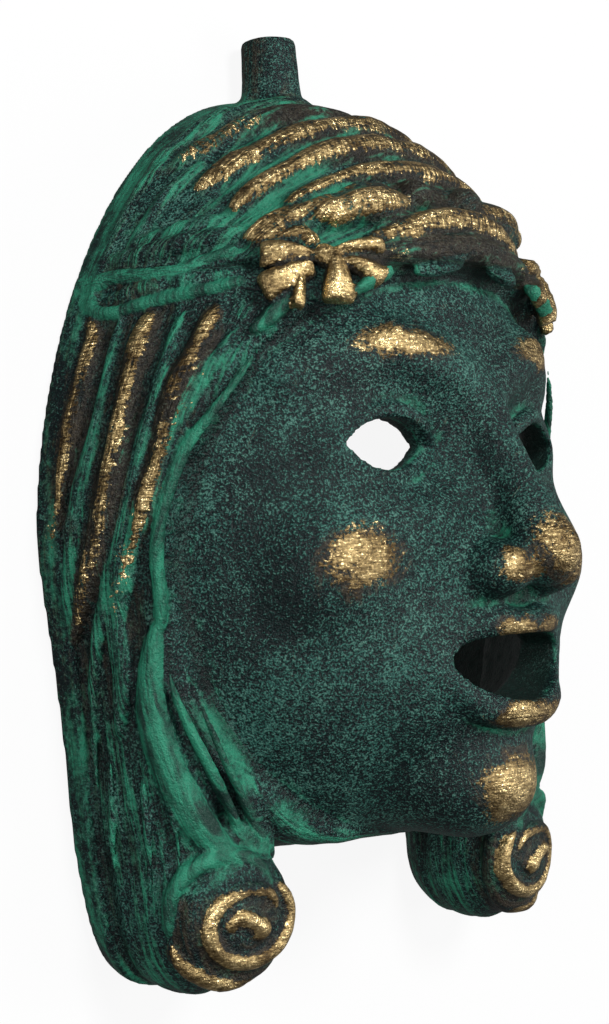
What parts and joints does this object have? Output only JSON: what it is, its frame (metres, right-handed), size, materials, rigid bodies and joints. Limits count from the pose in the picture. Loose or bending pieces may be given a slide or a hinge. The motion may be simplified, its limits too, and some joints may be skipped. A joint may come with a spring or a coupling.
{
  "type": "greek theatre mask",
  "caption": "Small cast-brass souvenir theatre mask, a hollow smiling face with open mouth, pierced eyes, combed hair, headband and side locks ending in scrolls, with a peg on the crown.",
  "frame": {"origin": "under the middle of the mask's length and width, on the plane of its flat back rim", "axes": "+X sideways, to the mask's own left; +Y from the side locks towards the crown and its peg; +Z forward, out of the face. The mask lies on its back rim, face up"},
  "size_m": [0.1012, 0.1386, 0.0533],
  "materials": {
    "patinated_brass": "sand-cast brass with dark green patina, brighter green in the hollows and bare rubbed brass on the high points"
  },
  "bodies": {
    "root": {"mask": "patinated_brass"}
  },
  "joints": []
}
